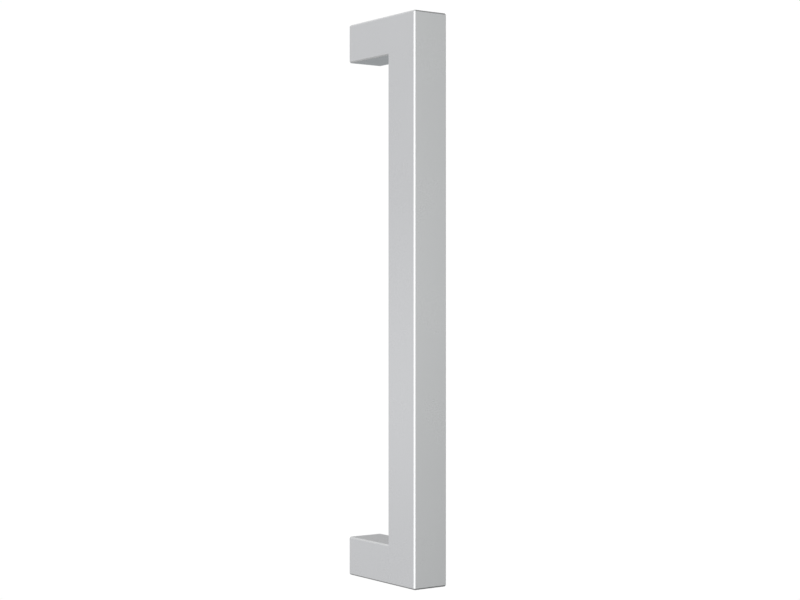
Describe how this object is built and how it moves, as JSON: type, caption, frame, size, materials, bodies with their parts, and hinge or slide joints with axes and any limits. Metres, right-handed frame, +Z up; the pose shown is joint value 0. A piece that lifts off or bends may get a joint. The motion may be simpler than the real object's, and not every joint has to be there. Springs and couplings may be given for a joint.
{
  "type": "cabinet handle",
  "caption": "Square-cornered U-shaped cabinet handle in satin metal: a straight grip bar on end posts with tapped screw holes in their feet.",
  "frame": {"origin": "midway between the two screw holes, on the plane of the feet, which is the face of the door", "axes": "+Z up along the grip bar, +Y into the door along the screw holes, so the handle projects towards -Y, +X across the handle"},
  "size_m": [0.012, 0.035, 0.172],
  "materials": {
    "handle": "satin anodised, natural silver"
  },
  "bodies": {
    "root": {"handle": "handle"}
  },
  "joints": []
}
